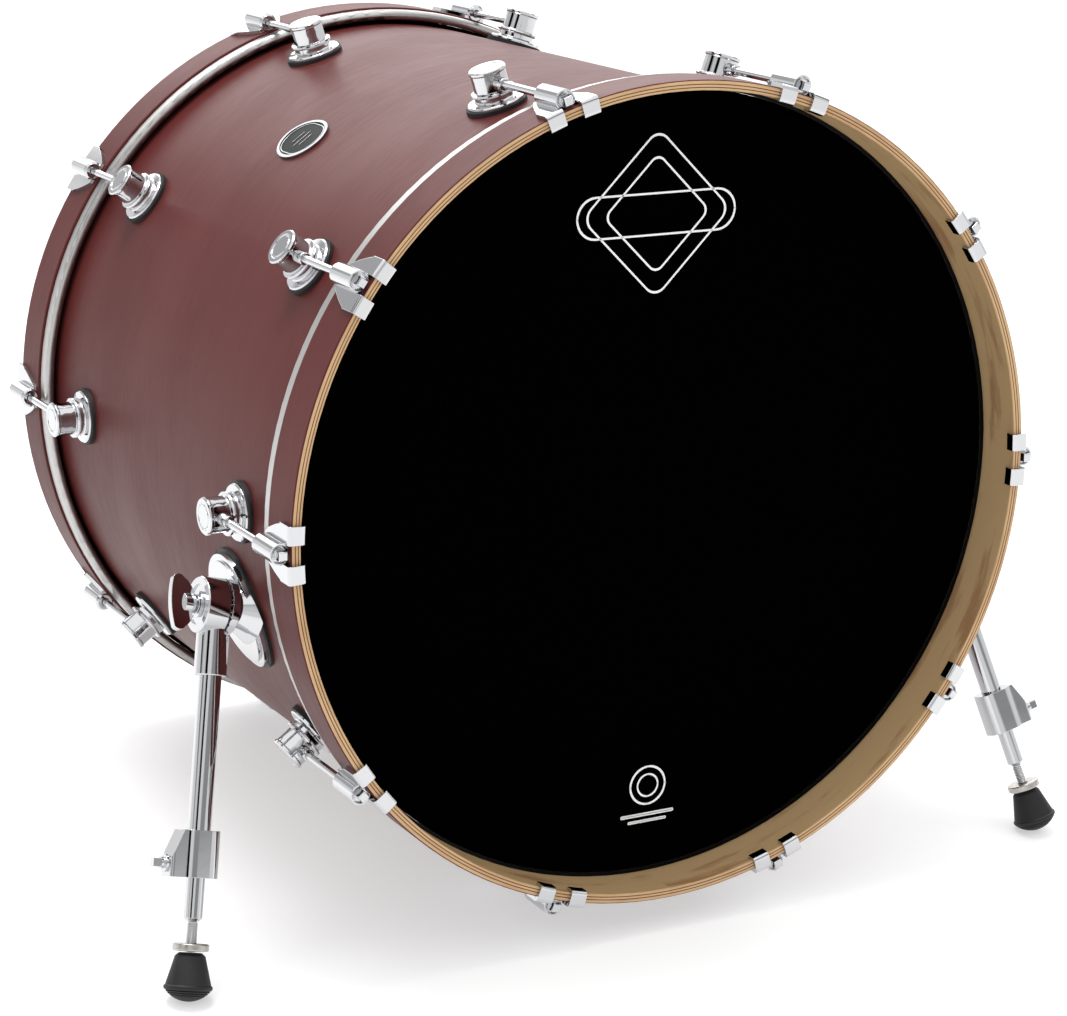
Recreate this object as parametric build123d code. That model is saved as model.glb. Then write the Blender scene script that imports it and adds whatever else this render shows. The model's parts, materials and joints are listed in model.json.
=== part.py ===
from build123d import *
import os
from math import asin, cos, degrees, radians, sin

# A 22 x 18 inch bass drum standing on its two spurs and the foot of its rear hoop.
# Every part is drawn with the drum level: origin at the drum's centre, -Y towards the
# front head, +Z up. stand() then tips it back onto the floor.

# ---- Driving dimensions, in millimetres and degrees ----
SHELL_R = 279.4
SHELL_WALL = 7.6
SHELL_DEPTH = 457.2
CREST_R = 276.5
HOOP_R = 292.0
HOOP_BORE_R = 284.8
HOOP_DEPTH = 38.1
HOOP_PROUD = 35.2
FRONT_LIFT = 25.5
STATIONS = 10
FIRST_STATION = 18.0

FILM = 0.5
HEAD_GAP = 0.3
FLESH_HOOP_R = 290.5
FLESH_HOOP_BORE_R = 282.6
FLESH_HOOP_DEPTH = 12.0

ROD_RADIUS = 297.5
ROD_DIA = 5.6
LUG_FROM_FACE = 112.0
LUG_TOP_R = 307.2
LUG_FLANGE_R = 20.2
LUG_WAIST_R = 13.8
LUG_STEP_R = 15.7
LUG_BARREL_R = 12.5
GASKET = 2.6
NUT_DIA = 8.6
NUT_BEFORE_LUG = 22.5
NUT_PAST_LUG = 5.0
RUNNING_FIT = 0.1

CLAW_HALF_WIDTH = 19.8
CLAW_GAP_HALF = 7.0
CLAW_PLATE = 3.2
CLAW_BARREL_R = 7.4
CLAW_LENGTH = 36.0
WASHER_SEAT = 8.0
WASHER = 1.2

BADGE_ANGLE = -36.0
BADGE_LENGTH = 51.0
BADGE_WIDTH = 41.0
BADGE_BORDER = 2.5
BADGE_PLATE = 1.2
BADGE_RIM = 2.0

SCREW_DIA = 6.0
SCREW_HOLE_DIA = 6.6
SCREW_GRIP = 15.0
SCREW_HEAD = 4.2
SCREW_WASHER_R = 8.0
SCREW_WASHER = 1.4
SCREW_PLAY = 0.2

SPUR_PLATE_ANGLE = -106.3
SPUR_PLATE_FROM_FACE = 140.0
SPUR_PLATE_HEIGHT = 86.0
SPUR_PLATE_WIDTH = 78.0
SPUR_GASKET = 2.4
PIVOT_RADIUS = 304.4
PIVOT_ANGLE = -102.6
PIVOT_FROM_FACE = 119.0
LEG_SPLAY = 13.4
LEG_RAKE = 18.25
BOSS_R = 19.5
BOSS_FACE = -5.0
BOSS_DISC = 5.5
NECK_R = 13.0
NECK_FLARE_R = 24.0
EYE_R = 19.5
EYE_FACE = 12.0
SLEEVE_R = 11.2
SLEEVE_END = -48.0
TUBE_DIA = 16.0
TUBE_TOP = -25.0
COLLAR_TOP = -153.0
COLLAR_END = -185.0
LEG_ROD_DIA = 12.7
LEG_ROD_TOP = -95.0
SHOULDER = -212.0
THREAD_DIA = 8.0
THREAD_PITCH = 1.25
LOCK_NUT_TOP = -229.0
LOCK_NUT = 5.3
FOOT_R = 16.6
FOOT_DOME_R = 20.0
RIB_DEPTH = 1.0

# ---- Worked out from them ----
LENGTH = SHELL_DEPTH + 2 * HOOP_PROUD
FACE_Y = -LENGTH / 2
EDGE_Y = -SHELL_DEPTH / 2
TILT = degrees(asin(FRONT_LIFT / LENGTH))
CENTRE_HEIGHT = LENGTH / 2 * sin(radians(TILT)) + HOOP_R * cos(radians(TILT))
SHELL_BORE_R = SHELL_R - SHELL_WALL
LUG_Y = FACE_Y + LUG_FROM_FACE
LUG_BASE_R = SHELL_R + GASKET
STANDING = Pos(0, 0, CENTRE_HEIGHT) * Rot(X=-TILT)


# ---- Helpers ----
def drum_cylinder(radius, start=-LENGTH, end=LENGTH):
    """A solid cylinder on the drum's axis between two y places."""
    return Pos(0, (start + end) / 2, 0) * Rot(X=90) * Cylinder(radius, end - start)


def ring(inner, outer, start, end):
    """A hoop on the drum's axis."""
    return drum_cylinder(outer, start, end) - drum_cylinder(inner)


def turned(points, x=0, y=0):
    """A solid turned about an upright axis from (radius, height) points."""
    outline = Plane.XZ * make_face(Polyline(*points, close=True))
    return Pos(x, y, 0) * revolve(outline, axis=Axis.Z)


def stations(shape):
    """The shape at the drum's top repeated at every tuning station."""
    step = 360 / STATIONS
    return [Rot(Y=FIRST_STATION + step * k) * shape for k in range(STATIONS)]


def both_ends(shapes):
    """Front-end shapes together with their copies at the rear."""
    return shapes + [Rot(Z=180) * shape for shape in shapes]


def oval_pad(height, width, inner, outer):
    """An oval of the drum's skin between two radii, drawn at the drum's top."""
    blank = Pos(0, 0, SHELL_BORE_R) * extrude(Ellipse(height / 2, width / 2), 40)
    return (blank & drum_cylinder(outer)) - drum_cylinder(inner)


# ---- Spur frames: the left spur is drawn, the right one mirrors it ----
PIVOT = Vector(
    PIVOT_RADIUS * sin(radians(PIVOT_ANGLE)),
    FACE_Y + PIVOT_FROM_FACE,
    PIVOT_RADIUS * cos(radians(PIVOT_ANGLE)),
)
OUTWARD = Vector(-cos(radians(LEG_SPLAY)), 0, sin(radians(LEG_SPLAY)))
DOWN_LEG = Vector(
    -sin(radians(LEG_SPLAY)) * cos(radians(LEG_RAKE)),
    -sin(radians(LEG_RAKE)),
    -cos(radians(LEG_SPLAY)) * cos(radians(LEG_RAKE)),
)
# In this frame the leg runs down -Z from the pivot, and +X is the pivot's axis, outward.
LEG = Plane(origin=PIVOT, x_dir=OUTWARD, z_dir=-DOWN_LEG).location
SPUR_PLATE = Rot(Y=SPUR_PLATE_ANGLE) * Pos(0, FACE_Y + SPUR_PLATE_FROM_FACE, 0)
SPUR_SCREWS = [SPUR_PLATE * Rot(Y=lean) * Pos(0, shift, 0) for lean, shift in ((-5, 8), (5, 8))]

pivot_height = (STANDING * Pos(PIVOT)).position.Z
leg_drop = -(Rot(X=-TILT) * Pos(DOWN_LEG)).position.Z
DOME_CENTRE = -(pivot_height - FOOT_DOME_R) / leg_drop
FOOT_TOP = LOCK_NUT_TOP - LOCK_NUT - 1.0


def mirrored(shape):
    return mirror(shape, about=Plane.YZ)


# ---- Shell and what is fixed to it ----
def shell():
    """Maple tube with bevelled bearing edges, drilled for its screws."""
    bevel_out = SHELL_R - CREST_R + 0.6
    bevel_in = CREST_R - SHELL_BORE_R
    outline = Polyline(
        (EDGE_Y, CREST_R),
        (EDGE_Y + bevel_out, SHELL_R),
        (-EDGE_Y - bevel_out, SHELL_R),
        (-EDGE_Y, CREST_R),
        (-EDGE_Y - bevel_in, SHELL_BORE_R),
        (EDGE_Y + bevel_in, SHELL_BORE_R),
        close=True,
    )
    tube = revolve(Plane.YZ * make_face(outline), axis=Axis.Y)
    drill = Pos(0, 0, SHELL_R) * Cylinder(SCREW_HOLE_DIA / 2, 40)
    left = [place * drill for place in SPUR_SCREWS]
    holes = both_ends(stations(Pos(0, LUG_Y, 0) * drill)) + left + [mirrored(h) for h in left]
    return tube - holes


def badge_oval(border, inner, outer):
    """The badge's oval, drawn in from its edge by a border, between two radii."""
    return oval_pad(BADGE_WIDTH - 2 * border, BADGE_LENGTH - 2 * border, inner, outer)


def badge_plate():
    return Rot(Y=BADGE_ANGLE) * badge_oval(BADGE_BORDER, SHELL_R, SHELL_R + BADGE_PLATE)


def badge_rim():
    rim = badge_oval(0, SHELL_R, SHELL_R + BADGE_RIM)
    middle = badge_oval(BADGE_BORDER, SHELL_R - 5, SHELL_R + 5)
    return Rot(Y=BADGE_ANGLE) * (rim - middle)


def lug():
    """A turret lug: round flange, stepped waist and rimmed barrel, cross bored for its nut."""
    base, top = LUG_BASE_R, LUG_TOP_R
    body = turned(
        [
            (0, base),
            (LUG_FLANGE_R, base),
            (LUG_FLANGE_R, base + 1.4),
            (LUG_FLANGE_R - 0.9, base + 2.3),
            (LUG_WAIST_R + 0.8, base + 2.8),
            (LUG_WAIST_R, base + 3.6),
            (LUG_WAIST_R, base + 6.8),
            (LUG_STEP_R - 0.5, base + 7.2),
            (LUG_STEP_R, base + 8.2),
            (LUG_STEP_R - 0.5, base + 9.4),
            (LUG_BARREL_R + 0.2, base + 9.9),
            (LUG_BARREL_R, top - 3.2),
            (LUG_BARREL_R + 0.7, top - 2.5),
            (LUG_BARREL_R + 0.7, top - 0.9),
            (LUG_BARREL_R - 0.2, top),
            (9.6, top),
            (9.2, top - 0.6),
            (8.4, top - 0.6),
            (8.0, top),
            (0, top),
        ]
    )
    cross = Pos(0, -8, ROD_RADIUS) * Rot(X=90) * Cylinder(NUT_DIA / 2 + RUNNING_FIT, 30)
    screw_hole = Pos(0, 0, base + 4.5) * Cylinder(SCREW_DIA / 2, 9)
    return Pos(0, LUG_Y, 0) * (body - cross - screw_hole)


def lug_gasket():
    pad = Pos(0, 0, LUG_BASE_R - 4) * Cylinder(LUG_FLANGE_R + 1.4, 8)
    hole = Pos(0, 0, LUG_BASE_R) * Cylinder(SCREW_HOLE_DIA / 2, 20)
    return Pos(0, LUG_Y, 0) * (pad - hole) - drum_cylinder(SHELL_R)


def swivel_nut():
    length = NUT_BEFORE_LUG + NUT_PAST_LUG
    body = chamfer(Cylinder(NUT_DIA / 2, length).edges(), 0.6)
    body -= Cylinder(ROD_DIA / 2 + RUNNING_FIT / 2, 2 * length)
    shift = (NUT_PAST_LUG - NUT_BEFORE_LUG) / 2
    return Pos(0, LUG_Y + shift, ROD_RADIUS) * Rot(X=90) * body


def mounting_screw():
    """Hex screw through the shell from inside."""
    seat = SHELL_BORE_R - SCREW_PLAY - SCREW_WASHER
    head = Pos(0, 0, seat - SCREW_HEAD) * extrude(RegularPolygon(5.8, 6), SCREW_HEAD)
    shank = Pos(0, 0, seat + SCREW_GRIP / 2) * Cylinder(SCREW_DIA / 2 - 0.05, SCREW_GRIP)
    return head + shank


def mounting_washer():
    middle = SHELL_BORE_R - SCREW_PLAY - SCREW_WASHER / 2
    disc = Pos(0, 0, middle) * Cylinder(SCREW_WASHER_R, SCREW_WASHER)
    return disc - Pos(0, 0, SHELL_BORE_R) * Cylinder(SCREW_HOLE_DIA / 2, 20)


def mounting_places(shape):
    """A lug-screw shape at every lug, and at both screws of each spur plate."""
    lugs = both_ends(stations(Pos(0, LUG_Y, 0) * shape))
    left = [place * shape for place in SPUR_SCREWS]
    return lugs + left + [mirrored(one) for one in left]


# ---- Hoops, heads and claws, drawn at the front ----
def wood_hoop():
    hoop = ring(HOOP_BORE_R, HOOP_R, FACE_Y, FACE_Y + HOOP_DEPTH)
    return fillet(hoop.edges().filter_by(GeomType.CIRCLE), 1.2)


def flesh_hoop():
    """Rolled channel between the wooden hoop and the film's collar, rounded where it shows."""
    start = FACE_Y + HOOP_DEPTH
    band = ring(FLESH_HOOP_BORE_R, FLESH_HOOP_R, start, start + FLESH_HOOP_DEPTH)
    ends = band.edges().filter_by(GeomType.CIRCLE).group_by(Axis.Y)
    band = fillet(ends[-1], (FLESH_HOOP_R - FLESH_HOOP_BORE_R) / 2 - 0.4)
    seated = band.edges().filter_by(GeomType.CIRCLE).group_by(Axis.Y)[0]
    return fillet(seated.sort_by(SortBy.RADIUS)[-1], 1.4)


def head_film():
    """Flat film over the bearing edge, sloping out to a collar inside the flesh hoop."""
    inner = EDGE_Y - HEAD_GAP
    collar_r = FLESH_HOOP_BORE_R - 0.2
    foot = FACE_Y + HOOP_DEPTH + FLESH_HOOP_DEPTH - 4
    slope = collar_r - CREST_R - 0.8
    outline = Polyline(
        (inner - FILM, 0),
        (inner - FILM, CREST_R + 1.0),
        (inner - FILM + slope, collar_r),
        (foot, collar_r),
        (foot, collar_r - FILM),
        (inner + slope, collar_r - FILM),
        (inner, CREST_R + 0.8),
        (inner, 0),
        close=True,
    )
    return revolve(Plane.YZ * make_face(outline), axis=Axis.Y)


def claw():
    """Two hooked straps over the hoop, joined by a curved plate to a barrel for the rod."""
    inside, top = HOOP_BORE_R - 0.1, HOOP_R + CLAW_PLATE
    front, lip = FACE_Y - CLAW_PLATE, inside - 2.4
    hook = make_face(
        Polyline(
            (FACE_Y + 12, top),
            (front, top),
            (front, lip),
            (FACE_Y + 5, lip),
            (FACE_Y + 5, inside + 4),
            (FACE_Y + 12, inside + 4),
            close=True,
        )
    )
    hook = fillet(hook.vertices().group_by(Axis.X)[0], 3.0)
    tab = degrees((CLAW_HALF_WIDTH - CLAW_GAP_HALF) / HOOP_R)
    gap = degrees(CLAW_GAP_HALF / HOOP_R)
    strap = revolve(Plane.YZ * hook, axis=Axis.Y, revolution_arc=tab)
    straps = [Rot(Y=gap) * strap, Rot(Y=-gap - tab) * strap]

    start, back = FACE_Y + 10, FACE_Y + CLAW_LENGTH - 1
    half = make_face(
        Line((0, start), (CLAW_HALF_WIDTH, start))
        + ThreePointArc(
            (CLAW_HALF_WIDTH, start),
            (CLAW_HALF_WIDTH - 4.6, start + 13),
            (CLAW_BARREL_R + 1.4, back),
        )
        + Line((CLAW_BARREL_R + 1.4, back), (0, back))
        + Line((0, back), (0, start))
    )
    web = Pos(0, 0, inside + 2) * extrude(half + mirror(half, about=Plane.YZ), 20)
    web = web & drum_cylinder(top)

    mouth_y = FACE_Y + WASHER_SEAT - 3
    barrel_length = FACE_Y + CLAW_LENGTH - mouth_y
    barrel = Rot(X=90) * Cylinder(CLAW_BARREL_R, barrel_length)
    barrel = Pos(0, mouth_y + barrel_length / 2, ROD_RADIUS) * barrel
    barrel = chamfer(barrel.edges().filter_by(GeomType.CIRCLE).group_by(Axis.Y)[-1], 1.6)
    body = barrel + web + straps
    body -= ring(inside, HOOP_R, FACE_Y, FACE_Y + 60)
    mouth = Pos(0, mouth_y + 1.5, ROD_RADIUS) * Rot(X=90) * Cylinder(CLAW_BARREL_R - 1.1, 3)
    bore = Pos(0, mouth_y, ROD_RADIUS) * Rot(X=90) * Cylinder(ROD_DIA / 2 + 0.4, 100)
    return body - mouth - bore


def claw_washer():
    disc = Cylinder(ROD_RADIUS - HOOP_R - 0.1, WASHER) - Cylinder(ROD_DIA / 2 + 0.3, 5)
    return Pos(0, FACE_Y + WASHER_SEAT - WASHER / 2, ROD_RADIUS) * Rot(X=90) * disc


def tension_rod():
    """Square-headed rod with a round collar; its shank reaches through the swivel nut."""
    under_head = WASHER_SEAT - WASHER - 0.05
    shank = LUG_FROM_FACE + 3 - under_head
    rod = Pos(0, 0, shank / 2) * Cylinder(ROD_DIA / 2, shank)
    rod = chamfer(rod.edges().sort_by(Axis.Z)[-1], 0.8)
    collar = Pos(0, 0, -0.8) * Cylinder(4.7, 1.6)
    square = Pos(0, 0, -4.6) * Box(6.2, 6.2, 6.0)
    square = chamfer(square.faces().sort_by(Axis.Z)[0].edges(), 0.6)
    return Pos(0, FACE_Y + under_head, ROD_RADIUS) * Rot(X=-90) * (rod + collar + square)


# ---- Spurs, drawn on the left ----
def spur_gasket():
    height, width = SPUR_PLATE_HEIGHT + 5, SPUR_PLATE_WIDTH + 5
    pad = SPUR_PLATE * oval_pad(height, width, SHELL_R, SHELL_R + SPUR_GASKET)
    hole = Pos(0, 0, SHELL_R) * Cylinder(SCREW_HOLE_DIA / 2, 20)
    return pad - [place * hole for place in SPUR_SCREWS]


def spur_bracket():
    """Oval plate on the shell with a flared neck whose toothed disc carries the leg."""
    foot = SHELL_R + SPUR_GASKET
    plate = oval_pad(SPUR_PLATE_HEIGHT, SPUR_PLATE_WIDTH, foot, foot + 3.6)
    pillow = oval_pad(SPUR_PLATE_HEIGHT - 9, SPUR_PLATE_WIDTH - 9, foot, foot + 5.4)
    base = Plane(origin=(BOSS_FACE - 22, 0, 0), z_dir=(1, 0, 0))
    flare = Solid.make_cone(NECK_FLARE_R, NECK_R, 22.0 - BOSS_DISC, base)
    neck = Pos(BOSS_FACE - 20, 0, 0) * Rot(Y=90) * Cylinder(NECK_R, 38)
    disc = Pos(BOSS_FACE - BOSS_DISC / 2, 0, 0) * Rot(Y=90) * Cylinder(BOSS_R, BOSS_DISC)
    body = SPUR_PLATE * (plate + pillow) + LEG * (neck + flare + disc) - drum_cylinder(foot)
    body -= [LEG * groove for groove in face_teeth(BOSS_FACE)]
    body -= LEG * Rot(Y=90) * Cylinder(THREAD_DIA / 2 + RUNNING_FIT / 2, 44)
    for place in SPUR_SCREWS:
        body -= place * Pos(0, 0, foot) * Cylinder(SCREW_DIA / 2, 10)
    return body


def face_teeth(plane_x):
    """Radial grooves that cut locking teeth into a round face square to X."""
    groove = Pos(plane_x, 0, EYE_R - 1) * Rot(Z=45) * Box(1.1, 1.1, 8)
    return [Rot(X=15 * k) * groove for k in range(24)]


def spur_knuckle():
    """The leg's cast head: a toothed eye with a rimmed face, and a sleeve for the tube."""
    depth = EYE_FACE + 1.2 - (BOSS_FACE + 1)
    eye = Pos(BOSS_FACE + 1 + depth / 2, 0, 0) * Rot(Y=90) * Cylinder(EYE_R, depth)
    eye = chamfer(eye.edges().filter_by(GeomType.CIRCLE), 0.8)
    sleeve = Pos(0, 0, SLEEVE_END / 2) * Cylinder(SLEEVE_R, -SLEEVE_END)
    sleeve = chamfer(sleeve.edges().group_by(Axis.Z)[0], 0.6)
    sleeve -= Pos(BOSS_FACE - 19, 0, 0) * Rot(Y=90) * Cylinder(BOSS_R + 2.5, 40)
    body = eye + sleeve
    body -= face_teeth(BOSS_FACE + 1)
    body -= Pos(EYE_FACE + 2, 0, 0) * Rot(Y=90) * Cylinder(EYE_R - 5.5, 4)
    body -= Rot(Y=90) * Cylinder(THREAD_DIA / 2 + RUNNING_FIT / 2, 60)
    socket = SLEEVE_END - TUBE_TOP
    body -= Pos(0, 0, SLEEVE_END - socket / 2) * Cylinder(TUBE_DIA / 2 + 0.05, -socket)
    return LEG * body


def pivot_washer():
    disc = Pos(EYE_FACE + 0.9, 0, 0) * Rot(Y=90) * Cylinder(9.0, 1.6)
    return LEG * (disc - Rot(Y=90) * Cylinder(THREAD_DIA / 2 + RUNNING_FIT, 60))


def wing_bolt():
    """Bow-shaped wing on a hub, with a threaded shank through the eye into the boss."""
    hub = Pos(19, 0, 0) * Rot(Y=90) * Cylinder(6.5, 10)
    outline = make_face(
        Line((16, -5), (16, 5))
        + ThreePointArc((16, 5), (18.6, 12), (23.6, 17.4))
        + ThreePointArc((23.6, 17.4), (27.6, 19.6), (31.6, 17.6))
        + ThreePointArc((31.6, 17.6), (33.6, 0), (31.6, -17.6))
        + ThreePointArc((31.6, -17.6), (27.6, -19.6), (23.6, -17.4))
        + ThreePointArc((23.6, -17.4), (18.6, -12), (16, -5))
    )
    wing = Rot(X=12) * Pos(0, 2.6, 0) * extrude(Plane.XZ * outline, 5.2)
    shank = Pos(-2, 0, 0) * Rot(Y=90) * Cylinder(THREAD_DIA / 2, 34)
    return LEG * (hub + wing + shank)


def spur_tube():
    length = TUBE_TOP - 0.2 - (COLLAR_END + 2)
    tube = Pos(0, 0, TUBE_TOP - 0.2 - length / 2) * Cylinder(TUBE_DIA / 2, length)
    return LEG * (tube - Cylinder(LEG_ROD_DIA / 2 + RUNNING_FIT, 600))


def memory_lock():
    """Clamp block on the tube's end with a wedge-shaped ear for its key screw."""
    height = COLLAR_TOP - COLLAR_END
    middle = (COLLAR_TOP + COLLAR_END) / 2
    block = extrude(Pos(0, 0, COLLAR_END) * RectangleRounded(28.4, 23.0, 9.5), height)
    ear = Plane.XZ * make_face(
        Polyline(
            (0, COLLAR_TOP),
            (14, COLLAR_TOP),
            (22.5, COLLAR_TOP - 20),
            (22.5, COLLAR_END),
            (0, COLLAR_END),
            close=True,
        )
    )
    ear = extrude(ear, 8.6, both=True)
    ear = fillet(ear.edges().filter_by(Axis.Y, reverse=True).group_by(Axis.X)[-1].filter_by(Axis.Z), 2.5)
    body = block + ear
    body -= Pos(0, 0, middle + 1) * Cylinder(TUBE_DIA / 2 + 0.05, height)
    body -= Cylinder(LEG_ROD_DIA / 2 + RUNNING_FIT + 0.1, 600)
    body -= Pos(20, 0, COLLAR_END + 9) * Rot(Y=90) * Cylinder(3.05, 24)
    return LEG * body


def key_screw():
    """Square-headed clamp screw, square to the leg."""
    shank = Pos(15.7, 0, 0) * Rot(Y=90) * Cylinder(3.0, 15)
    collar = Pos(23.5, 0, 0) * Rot(Y=90) * Cylinder(6.0, 1.8)
    neck = Pos(25.6, 0, 0) * Rot(Y=90) * Cylinder(3.8, 3.2)
    square = Pos(29.9, 0, 0) * Box(6.0, 5.8, 5.8)
    return LEG * Pos(0, 0, COLLAR_END + 9) * (shank + collar + neck + square)


def spur_rod():
    """Sliding leg rod, stepped down to the foot's thread."""
    ridges = []
    root = THREAD_DIA / 2 - 0.7
    height = SHOULDER - 3.5
    while height > FOOT_TOP + THREAD_PITCH:
        ridges += [(root, height), (THREAD_DIA / 2, height - THREAD_PITCH / 2)]
        height -= THREAD_PITCH
    tip = DOME_CENTRE - 2
    profile = [(0, LEG_ROD_TOP), (LEG_ROD_DIA / 2, LEG_ROD_TOP), (LEG_ROD_DIA / 2, SHOULDER)]
    profile += [(root, SHOULDER - 3.0)] + ridges
    profile += [(root, height), (root, tip), (0, tip)]
    return LEG * turned(profile)


def lock_nut():
    nut = Pos(0, 0, LOCK_NUT_TOP - LOCK_NUT / 2) * Cylinder(12.4, LOCK_NUT)
    nut = fillet(nut.edges().filter_by(GeomType.CIRCLE), 1.2)
    return LEG * (nut - Cylinder(THREAD_DIA / 2 + RUNNING_FIT / 2, 600))


def on_dome(angle, inset=0.0):
    """(radius, height) of a point on the foot's dome, at an angle from its lowest point."""
    radius = FOOT_DOME_R - inset
    return radius * sin(radians(angle)), DOME_CENTRE - radius * cos(radians(angle))


def rubber_foot():
    """Flared rubber foot with a lip, ribs and a domed tread that meets the floor."""
    lip = DOME_CENTRE - (FOOT_DOME_R**2 - FOOT_R**2) ** 0.5
    side = [(0, FOOT_TOP), (8, FOOT_TOP), (10.4, FOOT_TOP - 2.2)]
    side += [(FOOT_R - 1.0, lip + 2.4), (FOOT_R, lip + 1.4), (FOOT_R, lip)]
    for angle in (52, 46, 40):
        side += [on_dome(angle), on_dome(angle - 0.6, RIB_DEPTH)]
        side += [on_dome(angle - 2.2, RIB_DEPTH), on_dome(angle - 2.8)]
    side.append(on_dome(32))
    lowest = on_dome(0)
    outline = make_face(
        Polyline(*side)
        + ThreePointArc(on_dome(32), on_dome(16), lowest)
        + Line(lowest, (0, FOOT_TOP))
    )
    foot = revolve(Plane.XZ * outline, axis=Axis.Z)
    depth = FOOT_TOP - DOME_CENTRE + 3
    bore = Pos(0, 0, FOOT_TOP - depth / 2) * Cylinder(THREAD_DIA / 2 + RUNNING_FIT / 2, depth)
    return LEG * (foot - bore)


# ---- Write one file per node ----
def write(name, shapes):
    """Stand the shapes on the floor and write them as one node."""
    solids = [solid for shape in shapes for solid in (STANDING * shape).solids()]
    export_step(Compound(children=solids), os.path.join("parts", name + ".step"))


def write_pair(name, shape):
    """Write a left spur part and its mirror image on the right."""
    write(name + "_left", [shape])
    write(name + "_right", [mirrored(shape)])


os.makedirs("parts", exist_ok=True)
write("shell", [shell()])
write("badge_plate", [badge_plate()])
write("badge_rim", [badge_rim()])
write("lug_gaskets", both_ends(stations(lug_gasket())))
write("swivel_nuts", both_ends(stations(swivel_nut())))
write("mounting_screws", mounting_places(mounting_screw()))
write("mounting_washers", mounting_places(mounting_washer()))
write("spur_gaskets", [spur_gasket(), mirrored(spur_gasket())])

one_rod = tension_rod()
for end, turn in (("front", 0), ("rear", 180)):
    place = Rot(Z=turn)
    write(end + "_lugs", [place * one for one in stations(lug())])
    write(end + "_hoop", [place * wood_hoop()])
    write(end + "_flesh_hoop", [place * flesh_hoop()])
    write(end + "_head", [place * head_film()])
    write(end + "_claws", [place * one for one in stations(claw())])
    write(end + "_claw_washers", [place * one for one in stations(claw_washer())])
    for number, rod in enumerate(stations(one_rod), start=1):
        write(f"{end}_tension_rod_{number}", [place * rod])

write_pair("spur_bracket", spur_bracket())
write_pair("spur_knuckle", spur_knuckle())
write_pair("pivot_washer", pivot_washer())
write_pair("wing_bolt", wing_bolt())
write_pair("spur_tube", spur_tube())
write_pair("memory_lock", memory_lock())
write_pair("key_screw", key_screw())
write_pair("spur_rod", spur_rod())
write_pair("lock_nut", lock_nut())
write_pair("rubber_foot", rubber_foot())
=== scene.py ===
import json
import math

import bmesh
import bpy
from mathutils import Matrix, Vector


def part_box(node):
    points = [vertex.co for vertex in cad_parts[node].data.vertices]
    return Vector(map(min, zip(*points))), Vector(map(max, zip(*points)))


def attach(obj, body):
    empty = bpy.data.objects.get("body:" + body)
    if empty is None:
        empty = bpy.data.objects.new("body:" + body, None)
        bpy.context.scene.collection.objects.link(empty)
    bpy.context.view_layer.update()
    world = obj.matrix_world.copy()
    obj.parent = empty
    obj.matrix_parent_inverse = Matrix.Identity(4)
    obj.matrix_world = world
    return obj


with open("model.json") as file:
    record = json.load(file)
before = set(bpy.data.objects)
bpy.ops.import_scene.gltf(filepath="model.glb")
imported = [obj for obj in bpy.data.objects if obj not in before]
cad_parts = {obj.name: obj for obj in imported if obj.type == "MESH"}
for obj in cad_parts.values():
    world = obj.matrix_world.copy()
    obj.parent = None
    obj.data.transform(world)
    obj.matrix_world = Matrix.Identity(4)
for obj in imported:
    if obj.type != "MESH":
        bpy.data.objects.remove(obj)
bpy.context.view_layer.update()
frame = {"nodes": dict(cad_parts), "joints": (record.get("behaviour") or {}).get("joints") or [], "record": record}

# ---- The drum's own frame: its axis, its centre and its radii, read from the CAD model ----
FRONT = Vector(next(j["axis"] for j in frame["joints"] if j["name"] == "front_hoop_loosen"))
TILT = math.atan2(FRONT.z, -FRONT.y)


def middle(node):
    """Centre of a CAD node's box."""
    low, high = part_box(node)
    return (Vector(low) + Vector(high)) / 2


CENTRE = (middle("front_hoop") + middle("rear_hoop")) / 2
DRUM = Matrix.Translation(CENTRE) @ Matrix.Rotation(-TILT, 4, "X")


def half_width(node):
    """Outer radius of a node that runs right round the drum."""
    low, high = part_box(node)
    return (high[0] - low[0]) / 2


def half_length(node):
    """How far a node that runs round the drum reaches from the drum's middle, along its axis."""
    turn = DRUM.inverted()
    vertices = frame["nodes"][node].data.vertices
    return max(abs((turn @ vertex.co).y) for vertex in vertices)


DRUM_END = half_length("front_hoop")
FLESH_SEAT = half_length("front_flesh_hoop")
SHELL_R = half_width("shell")
HOOP_R = half_width("front_hoop")

SHELL_WALL = 0.0076
HOOP_WALL = 0.0072
SHELL_GLUE_LINES = [SHELL_R - 0.0011 * ply for ply in range(1, 7)]
HOOP_GLUE_LINES = [HOOP_R - 0.0031, HOOP_R - 0.0052]
HOOP_STAIN_REACH = 0.030


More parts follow.
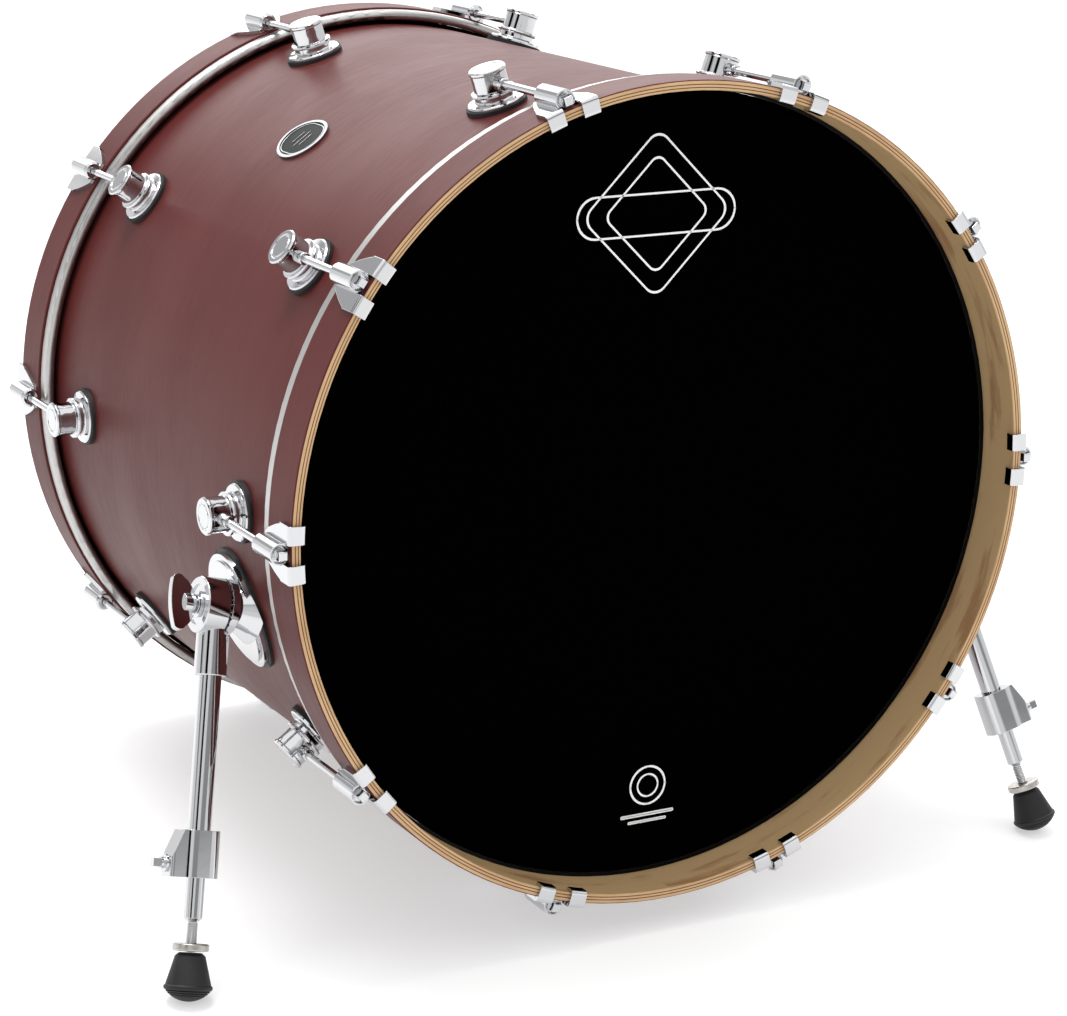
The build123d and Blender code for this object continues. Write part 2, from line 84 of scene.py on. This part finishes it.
# ---- Shader helpers ----
class Shader:
    """A material under construction: short names for the nodes it needs."""

    def __init__(self, name):
        self.material = bpy.data.materials.new(name)
        self.material.use_nodes = True
        self.tree = self.material.node_tree
        self.tree.nodes.clear()
        self.output = self.tree.nodes.new("ShaderNodeOutputMaterial")
        self.surface = self.tree.nodes.new("ShaderNodeBsdfPrincipled")
        self.link(self.surface.outputs[0], self.output.inputs[0])

    def link(self, source, target):
        self.tree.links.new(source, target)

    def fill(self, socket, value):
        """Set a socket to a constant, or link it to another node's output."""
        if isinstance(value, bpy.types.NodeSocket):
            self.link(value, socket)
        else:
            socket.default_value = value

    def set(self, **values):
        """Fill sockets of the surface; underscores stand for spaces."""
        for name, value in values.items():
            self.fill(self.surface.inputs[name.replace("_", " ")], value)

    def math(self, operation, first, second=0.0, third=0.0):
        node = self.tree.nodes.new("ShaderNodeMath")
        node.operation = operation
        for socket, value in zip(node.inputs, (first, second, third)):
            self.fill(socket, value)
        return node.outputs[0]

    def smooth(self, value, low, high, start=0.0, end=1.0):
        """Remap a value from low..high to start..end with eased ends."""
        node = self.tree.nodes.new("ShaderNodeMapRange")
        node.interpolation_type = "SMOOTHSTEP"
        for socket, number in zip(node.inputs, (value, low, high, start, end)):
            self.fill(socket, number)
        return node.outputs[0]

    def mix(self, factor, first, second):
        node = self.tree.nodes.new("ShaderNodeMix")
        node.data_type = "RGBA"
        self.fill(node.inputs[0], factor)
        self.fill(node.inputs[6], first)
        self.fill(node.inputs[7], second)
        return node.outputs[2]

    def noise(self, vector, scale, detail=3.0, roughness=0.5):
        node = self.tree.nodes.new("ShaderNodeTexNoise")
        self.fill(node.inputs["Vector"], vector)
        node.inputs["Scale"].default_value = scale
        node.inputs["Detail"].default_value = detail
        node.inputs["Roughness"].default_value = roughness
        return node.outputs[0]

    def combine(self, x, y, z):
        node = self.tree.nodes.new("ShaderNodeCombineXYZ")
        for socket, value in zip(node.inputs, (x, y, z)):
            self.fill(socket, value)
        return node.outputs[0]

    def place(self):
        """Position on the piece, in the row's frame."""
        return self.tree.nodes.new("ShaderNodeTexCoord").outputs["Object"]

    def polar(self):
        """(radius, angle, y) about the drum's axis."""
        mapping = self.tree.nodes.new("ShaderNodeMapping")
        mapping.vector_type = "TEXTURE"
        mapping.inputs["Location"].default_value = DRUM.translation
        mapping.inputs["Rotation"].default_value = DRUM.to_euler()
        self.link(self.place(), mapping.inputs["Vector"])
        split = self.tree.nodes.new("ShaderNodeSeparateXYZ")
        self.link(mapping.outputs[0], split.inputs[0])
        x, y, z = split.outputs
        square = self.math("ADD", self.math("MULTIPLY", x, x), self.math("MULTIPLY", z, z))
        return self.math("SQRT", square), self.math("ARCTAN2", x, z), y

    def bump(self, height, distance, strength, eased=0.0):
        """Raise the surface by a height; eased rounds its corners by that radius."""
        node = self.tree.nodes.new("ShaderNodeBump")
        self.fill(node.inputs["Height"], height)
        if eased:
            corners = self.tree.nodes.new("ShaderNodeBevel")
            corners.samples = 6
            corners.inputs["Radius"].default_value = eased
            self.link(corners.outputs[0], node.inputs["Normal"])
        node.inputs["Distance"].default_value = distance
        node.inputs["Strength"].default_value = strength
        self.link(node.outputs[0], self.surface.inputs["Normal"])


def colour(red, green, blue):
    return (red, green, blue, 1.0)


# ---- Materials ----
MAPLE = colour(0.60, 0.40, 0.22)
MAPLE_DARK = colour(0.40, 0.21, 0.11)
BORE_LIGHT = colour(0.49, 0.33, 0.17)
BORE_STREAK = colour(0.30, 0.15, 0.07)
GLUE = colour(0.10, 0.040, 0.020)
STAIN = colour(0.102, 0.021, 0.0195)
STAIN_DEEP = colour(0.056, 0.0115, 0.0110)
RING_DARK = colour(0.40, 0.396, 0.388)
RING_LIGHT = colour(0.55, 0.545, 0.535)
RING_SHADOW = colour(0.004, 0.004, 0.004)

STAIN_FADE = 0.0004
CORNER_EASE = 0.0005


def stained_wood(name, outer, bore, glue_lines, stain_end):
    """Maple, stained outside; its ends show the plies and its bore is bare.

    Its inner end, nearer the drum's middle than stain_end, is stained too.
    """
    s = Shader(name)
    radius, angle, along = s.polar()
    arc = s.math("MULTIPLY", angle, outer)

    def drawn_out(squeeze):
        """Position with the grain running round the drum: the smaller, the longer its figure."""
        return s.combine(s.math("MULTIPLY", arc, squeeze), along, radius)

    fine = s.noise(drawn_out(0.10), scale=380.0, detail=4.0, roughness=0.6)
    broad = s.noise(drawn_out(0.35), scale=16.0, detail=3.0, roughness=0.55)
    cloud = s.noise(s.combine(arc, along, radius), scale=7.0, detail=2.0)

    grain = s.math("MULTIPLY_ADD", fine, 0.5, s.math("MULTIPLY", broad, 0.5))
    shade = s.smooth(grain, low=0.3, high=0.7)
    depth = s.math("MULTIPLY_ADD", shade, 0.22, s.math("MULTIPLY", cloud, 0.5))
    stained = s.mix(depth, STAIN, STAIN_DEEP)
    bare = s.mix(s.smooth(shade, low=0.2, high=1.0, end=0.55), MAPLE, MAPLE_DARK)

    glue = 0.0
    for line in glue_lines:
        offset = s.math("ABSOLUTE", s.math("SUBTRACT", radius, line))
        beside = s.smooth(offset, low=0.00020, high=0.00045, start=1.0, end=0.0)
        glue = s.math("ADD", glue, beside)
    edge = s.mix(s.math("MINIMUM", glue, 1.0), bare, GLUE)

    inside = s.smooth(radius, low=bore + 0.0001, high=bore + STAIN_FADE, start=1.0, end=0.0)
    figure = s.noise(drawn_out(0.16), scale=60.0, detail=5.0, roughness=0.62)
    streaks = s.smooth(figure, low=0.52, high=0.66, end=0.75)
    natural = s.mix(inside, edge, s.mix(streaks, BORE_LIGHT, BORE_STREAK))

    outside = s.smooth(radius, low=outer - 0.0010, high=outer - 0.0006)
    reach = s.math("ABSOLUTE", along)
    inner_end = s.smooth(reach, low=stain_end, high=stain_end + STAIN_FADE, start=1.0, end=0.0)
    off_bore = s.smooth(radius, low=bore, high=bore + STAIN_FADE)
    coat = s.math("MAXIMUM", outside, s.math("MULTIPLY", inner_end, off_bore))
    s.set(Base_Color=s.mix(coat, natural, stained))
    s.set(Roughness=s.smooth(shade, low=0.0, high=1.0, start=0.36, end=0.44))
    s.set(Specular_IOR_Level=0.10)
    s.bump(fine, distance=0.00003, strength=0.2)
    return s.material


def chrome(name, roughness, tint):
    """Polished plating with faint smears, its corners eased."""
    s = Shader(name)
    smear = s.noise(s.place(), scale=60.0)
    s.set(Base_Color=tint, Metallic=1.0)
    s.set(Roughness=s.smooth(smear, 0.3, 0.75, start=roughness * 0.6, end=roughness * 1.8))
    ripple = s.noise(s.place(), scale=180.0, detail=2.0)
    s.bump(ripple, distance=0.00002, strength=0.2, eased=CORNER_EASE)
    return s.material


def rolled_aluminium():
    """Bright ring with faint lines that run round it; its edge against the hoop carries a painted shadow."""
    s = Shader("rolled_aluminium")
    radius, angle, along = s.polar()
    drawn_out = s.combine(s.math("MULTIPLY", angle, 0.03), along, radius)
    lines = s.noise(drawn_out, scale=700.0, detail=2.0, roughness=0.6)
    bright = s.mix(lines, RING_DARK, RING_LIGHT)
    reach = s.math("ABSOLUTE", along)
    # Painted shadow: a black, non-metallic band where the ring meets the wood hoop, standing in for the shade in
    # the gap between them.
    hoop_shadow_band = s.smooth(reach, low=FLESH_SEAT - 0.0009, high=FLESH_SEAT - 0.0005)
    s.set(Base_Color=s.mix(hoop_shadow_band, bright, RING_SHADOW))
    s.set(Metallic=s.math("SUBTRACT", 1.0, hoop_shadow_band), Specular_IOR_Level=0.1)
    s.set(Roughness=s.smooth(lines, low=0.3, high=0.7, start=0.30, end=0.42))
    s.bump(lines, distance=0.00002, strength=0.15)
    return s.material


def drum_film():
    """Matt black polyester with a very fine sprayed tooth."""
    s = Shader("drum_film")
    tooth = s.noise(s.place(), scale=2600.0, detail=2.0, roughness=0.7)
    cloud = s.noise(s.place(), scale=14.0)
    s.set(Base_Color=s.mix(cloud, colour(0.0001, 0.0001, 0.00012), colour(0.0003, 0.0003, 0.0003)))
    s.set(Roughness=s.smooth(cloud, low=0.3, high=0.7, start=0.6, end=0.7))
    s.set(Specular_IOR_Level=0.003)
    s.bump(tooth, distance=0.00003, strength=0.4)
    return s.material


def rubber():
    """Moulded black rubber, finely pored and a little dusty."""
    s = Shader("rubber")
    pores = s.noise(s.place(), scale=1500.0, detail=3.0, roughness=0.65)
    dust = s.noise(s.place(), scale=90.0, detail=4.0)
    dusty = s.smooth(dust, low=0.45, high=0.8)
    s.set(Base_Color=s.mix(dusty, colour(0.010, 0.010, 0.011), colour(0.022, 0.022, 0.023)))
    s.set(Roughness=s.smooth(dust, low=0.3, high=0.7, start=0.5, end=0.68))
    s.set(Specular_IOR_Level=0.35)
    s.bump(pores, distance=0.00008, strength=0.5)
    return s.material


def white_print():
    """Flat white ink, slightly uneven."""
    s = Shader("white_print")
    ink = s.noise(s.place(), scale=700.0, detail=2.0)
    s.set(Base_Color=s.mix(ink, colour(0.78, 0.78, 0.78), colour(0.88, 0.88, 0.88)))
    s.set(Roughness=0.55)
    return s.material


def badge_enamel():
    """Near-black enamel with a slight orange peel."""
    s = Shader("badge_enamel")
    peel = s.noise(s.place(), scale=300.0)
    s.set(Base_Color=s.mix(peel, colour(0.006, 0.007, 0.008), colour(0.016, 0.017, 0.018)))
    s.set(Roughness=0.42, Specular_IOR_Level=0.05)
    s.bump(peel, distance=0.00004, strength=0.3)
    return s.material


def satin_metal(name, roughness):
    """Dull plated steel, handled and a little uneven, its corners eased."""
    s = Shader(name)
    wear = s.noise(s.place(), scale=240.0, detail=4.0)
    s.set(Base_Color=s.mix(wear, colour(0.38, 0.36, 0.33), colour(0.58, 0.56, 0.53)))
    s.set(Metallic=1.0)
    s.set(Roughness=s.smooth(wear, 0.3, 0.7, start=roughness * 0.8, end=roughness * 1.25))
    s.bump(wear, distance=0.00003, strength=0.3, eased=CORNER_EASE)
    return s.material


SHELL_WOOD = stained_wood("shell_wood", SHELL_R, SHELL_R - SHELL_WALL, SHELL_GLUE_LINES, 0.0)
HOOP_WOOD = stained_wood(
    "hoop_wood", HOOP_R, HOOP_R - HOOP_WALL, HOOP_GLUE_LINES, DRUM_END - HOOP_STAIN_REACH
)
CHROME = chrome("chrome", 0.05, colour(0.58, 0.585, 0.60))
# Painted shade: the chrome again with a much darker tint, so the trim shows dim where plain chrome would reflect
# the bright ceiling.
SHADED_TRIM = chrome("chrome_trim", 0.16, colour(0.26, 0.262, 0.27))
RUBBER = rubber()
PRINT = white_print()

SLOT_MATERIALS = {
    "stained_maple_shell": SHELL_WOOD,
    "stained_maple_hoop": HOOP_WOOD,
    "black_film": drum_film(),
    "aluminium_flesh_hoop": rolled_aluminium(),
    "chrome_hardware": CHROME,
    "chrome_trim": SHADED_TRIM,
    "badge_enamel": badge_enamel(),
    "rubber_gasket": RUBBER,
    "rubber_foot": RUBBER,
    "satin_nut": satin_metal("satin_nickel", 0.3),
    "zinc_screws": satin_metal("zinc_plate", 0.38),
}

for part in frame["record"]["subparts"]:
    node = frame["nodes"][part["node"]]
    node.data.materials.clear()
    node.data.materials.append(SLOT_MATERIALS[part["material_slot"]])


# ---- Building pieces ----
def add_piece(name, mesh, material, body):
    """Link a finished mesh as a piece with flat faces that rides on a CAD body."""
    mesh.materials.append(material)
    for face in mesh.polygons:
        face.use_smooth = False
    piece = bpy.data.objects.new(name, mesh)
    bpy.context.scene.collection.objects.link(piece)
    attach(piece, body)


def raised_bands(bands, lift):
    """A mesh of closed bands, each between two loops of (x, z), raised by lift along -Y."""
    mesh = bpy.data.meshes.new("strip")
    build = bmesh.new()
    for outer, inner in bands:
        low_out, top_out, low_in, top_in = [
            [build.verts.new((x, y, z)) for x, z in loop]
            for loop in (outer, inner)
            for y in (0.0, -lift)
        ]
        count = len(outer)
        for k in range(count):
            n = (k + 1) % count
            build.faces.new((top_out[k], top_out[n], top_in[n], top_in[k]))
            build.faces.new((low_out[k], low_out[n], top_out[n], top_out[k]))
            build.faces.new((top_in[k], top_in[n], low_in[n], low_in[k]))
    build.to_mesh(mesh)
    build.free()
    return mesh


SMALLEST_RADIUS = 0.0002
CORNER_STEPS = 8


def rounded_loop(width, height, corner, radius, turn, at):
    """Points (x, z) of a rectangle; its corners' centres lie one corner in from its sides."""
    points = []
    radius = max(radius, SMALLEST_RADIUS)
    for quarter in range(4):
        side_x = 1 if quarter in (0, 3) else -1
        side_z = 1 if quarter in (0, 1) else -1
        for step in range(CORNER_STEPS + 1):
            angle = math.radians(90 * quarter + 90 * step / CORNER_STEPS)
            x = side_x * (width / 2 - corner) + radius * math.cos(angle)
            z = side_z * (height / 2 - corner) + radius * math.sin(angle)
            points.append((
                at[0] + x * math.cos(turn) - z * math.sin(turn),
                at[1] + x * math.sin(turn) + z * math.cos(turn),
            ))
    return points


def band(width, height, corner, half, turn=0.0, at=(0.0, 0.0)):
    """A rounded rectangle's outer and inner loops; half is half the width of the line."""
    return (
        rounded_loop(width, height, corner, corner, turn, at),
        rounded_loop(width - 2 * half, height - 2 * half, corner, corner - half, turn, at),
    )


EMBLEM_AT = (-0.003, 0.197)
MARK_AT = (0.000, -0.218)
UPPER_BAR_AT = (MARK_AT[0], MARK_AT[1] - 0.022)
LOWER_BAR_AT = (MARK_AT[0], MARK_AT[1] - 0.027)
DIAMOND_TURN = math.radians(45)
PRINT_LINE = 0.0007
PRINT_LIFT = 0.00008
PRINT_GAP = 0.00003

BADGE_FACE_R = SHELL_R + 0.0012
BADGE_LIFT = 0.0004
BADGE_BAR_SPACING = 0.0060


def add_head_print():
    """Plain outlined shapes printed on the front head, with a small mark near its foot."""
    mounts = frame["record"]["mounts"]
    face = next(m["pos_m"] for m in mounts if m["name"] == "front_head_face")
    face_y = (DRUM.inverted() @ Vector(face)).y
    mesh = raised_bands([
        band(0.084, 0.084, 0.010, PRINT_LINE, DIAMOND_TURN, EMBLEM_AT),
        band(0.060, 0.060, 0.007, PRINT_LINE, DIAMOND_TURN, EMBLEM_AT),
        band(0.126, 0.030, 0.0149, PRINT_LINE, at=EMBLEM_AT),
        band(0.030, 0.030, 0.0149, PRINT_LINE, at=MARK_AT),
        band(0.018, 0.018, 0.0089, 0.0006, at=MARK_AT),
        band(0.044, 0.0026, 0.0012, 0.0009, at=UPPER_BAR_AT),
        band(0.032, 0.0022, 0.0010, 0.0008, at=LOWER_BAR_AT),
    ], PRINT_LIFT)
    mesh.transform(DRUM @ Matrix.Translation((0.0, face_y - PRINT_GAP, 0.0)))
    add_piece("head_print", mesh, PRINT, "front_hoop_set")


def add_badge_relief():
    """A raised oval ring and three bars on the badge, bent to the shell."""
    centre = DRUM.inverted() @ middle("badge_plate")
    turn = math.atan2(centre.x, centre.z)
    mesh = raised_bands([
        band(0.0325, 0.0425, 0.0160, 0.0004),
        band(0.0170, 0.0008, 0.0003, 0.0002),
        band(0.0120, 0.0008, 0.0003, 0.0002, at=(0.0, BADGE_BAR_SPACING)),
        band(0.0120, 0.0008, 0.0003, 0.0002, at=(0.0, -BADGE_BAR_SPACING)),
    ], BADGE_LIFT)
    for vertex in mesh.vertices:
        around, lift, along = vertex.co.x, -vertex.co.y, vertex.co.z
        angle = turn + around / BADGE_FACE_R
        reach = BADGE_FACE_R + lift
        vertex.co = (reach * math.sin(angle), centre.y + along, reach * math.cos(angle))
    mesh.transform(DRUM)
    add_piece("badge_relief", mesh, SHADED_TRIM, "drum")


add_head_print()
add_badge_relief()


# ---- Camera, floor and light ----
CAMERA_AT = Vector((-1.044, -1.957, 0.949))
LOOK_AT = Vector((0.0298, 0.0, 0.2315))
CAMERA_ROLL = math.radians(2.09)
CAMERA_LENS = 101.94
CAMERA_SENSOR = 36.0

FLOOR_RADIUS = 14.0
FLOOR_GLOW = 0.50

KEY_AT = Vector((-0.5, 0.4, 3.4))
KEY_SIZE = 1.5
KEY_POWER = 78

# Brightness of the studio's walls, and the heights (z of a direction) where one fades to the next.
WALL = 0.38
HORIZON = 1.0
HORIZON_EDGE = (0.24, 0.19)
CEILING = 1.35
CEILING_EDGE = (0.58, 0.66)

# Light panels (heading, half width, brightness) and black flags (heading, half width), in degrees
# clockwise from +Y seen from above, and how far either side of its edge each fades.
PANELS = (
    (28.0, 38.0, 3.0),
    (-26.0, 13.0, 0.2),
    (-52.0, 9.0, 0.4),
    (-105.0, 12.0, 0.5),
    (-150.0, 16.0, 0.6),
    (125.0, 18.0, 0.5),
)
PANEL_FADE = 7.0
FLAGS = ((-76.0, 10.0), (-128.0, 9.0), (100.0, 10.0))
FLAG_FADE = 2.5


def link_object(name, data):
    """A new object in the scene that holds some data."""
    thing = bpy.data.objects.new(name, data)
    bpy.context.scene.collection.objects.link(thing)
    return thing


def add_camera():
    """The photo's viewpoint, fitted to the hoops and the ten tuning stations."""
    data = bpy.data.cameras.new("camera")
    data.lens = CAMERA_LENS
    data.sensor_width = CAMERA_SENSOR
    camera = link_object("camera", data)
    aim = (LOOK_AT - CAMERA_AT).to_track_quat("-Z", "Y").to_matrix().to_4x4()
    roll = Matrix.Rotation(CAMERA_ROLL, 4, "Z")
    camera.matrix_world = Matrix.Translation(CAMERA_AT) @ aim @ roll
    bpy.context.scene.camera = camera


def add_floor():
    """White paper that also glows a little, so that shadows on it stay pale."""
    mesh = bpy.data.meshes.new("floor")
    build = bmesh.new()
    bmesh.ops.create_circle(build, cap_ends=True, radius=FLOOR_RADIUS, segments=96)
    build.to_mesh(mesh)
    build.free()
    s = Shader("floor_paper")
    mottle = s.noise(s.place(), scale=3.0)
    s.set(Base_Color=s.mix(mottle, colour(0.55, 0.55, 0.55), colour(0.57, 0.57, 0.57)))
    s.set(Roughness=0.8, Specular_IOR_Level=0.0)
    s.set(Emission_Color=colour(1.0, 1.0, 1.0), Emission_Strength=FLOOR_GLOW)
    mesh.materials.append(s.material)
    link_object("floor", mesh)


def add_key_light():
    """A soft square light overhead, aimed at the drum's centre."""
    data = bpy.data.lights.new("key", "AREA")
    data.shape = "RECTANGLE"
    data.size, data.size_y = KEY_SIZE, KEY_SIZE
    data.energy = KEY_POWER
    light = link_object("key", data)
    light.location = KEY_AT
    light.rotation_euler = (CENTRE - KEY_AT).to_track_quat("-Z", "Y").to_euler()


def add_world():
    """White horizon and ceiling; between them a dim wall with soft panels and black flags."""
    world = bpy.data.worlds.new("studio")
    world.use_nodes = True
    tree = world.node_tree
    background = tree.nodes["Background"]

    def math_node(operation, first, second=0.0):
        node = tree.nodes.new("ShaderNodeMath")
        node.operation = operation
        for socket, value in zip(node.inputs, (first, second)):
            if isinstance(value, bpy.types.NodeSocket):
                tree.links.new(value, socket)
            else:
                socket.default_value = value
        return node.outputs[0]

    def ramp(value, low, high):
        """0 at low and 1 at high, eased."""
        node = tree.nodes.new("ShaderNodeMapRange")
        node.interpolation_type = "SMOOTHSTEP"
        tree.links.new(value, node.inputs[0])
        node.inputs[1].default_value = low
        node.inputs[2].default_value = high
        return node.outputs[0]

    coords = tree.nodes.new("ShaderNodeTexCoord")
    split = tree.nodes.new("ShaderNodeSeparateXYZ")
    tree.links.new(coords.outputs["Generated"], split.inputs[0])
    x, y, z = split.outputs
    heading = math_node("MULTIPLY", math_node("ARCTAN2", x, y), 180 / math.pi)

    def outside(place, half, fade):
        """1 away from a panel or flag, 0 on it."""
        away = math_node("ABSOLUTE", math_node("SUBTRACT", heading, place))
        return ramp(away, half - fade, half + fade)

    light = WALL
    for place, half, strength in PANELS:
        on_panel = math_node("SUBTRACT", 1.0, outside(place, half, PANEL_FADE))
        light = math_node("ADD", light, math_node("MULTIPLY", on_panel, strength))
    for place, half in FLAGS:
        light = math_node("MULTIPLY", light, outside(place, half, FLAG_FADE))
    for level, edge in ((HORIZON, HORIZON_EDGE), (CEILING, CEILING_EDGE)):
        share = ramp(z, *edge)
        light = math_node("MULTIPLY", light, math_node("SUBTRACT", 1.0, share))
        light = math_node("ADD", light, math_node("MULTIPLY", share, level))
    tree.links.new(light, background.inputs[1])
    background.inputs[0].default_value = (1.0, 1.0, 1.0, 1.0)
    bpy.context.scene.world = world


add_camera()
add_floor()
add_world()
add_key_light()
bpy.context.scene.view_settings.view_transform = "Standard"
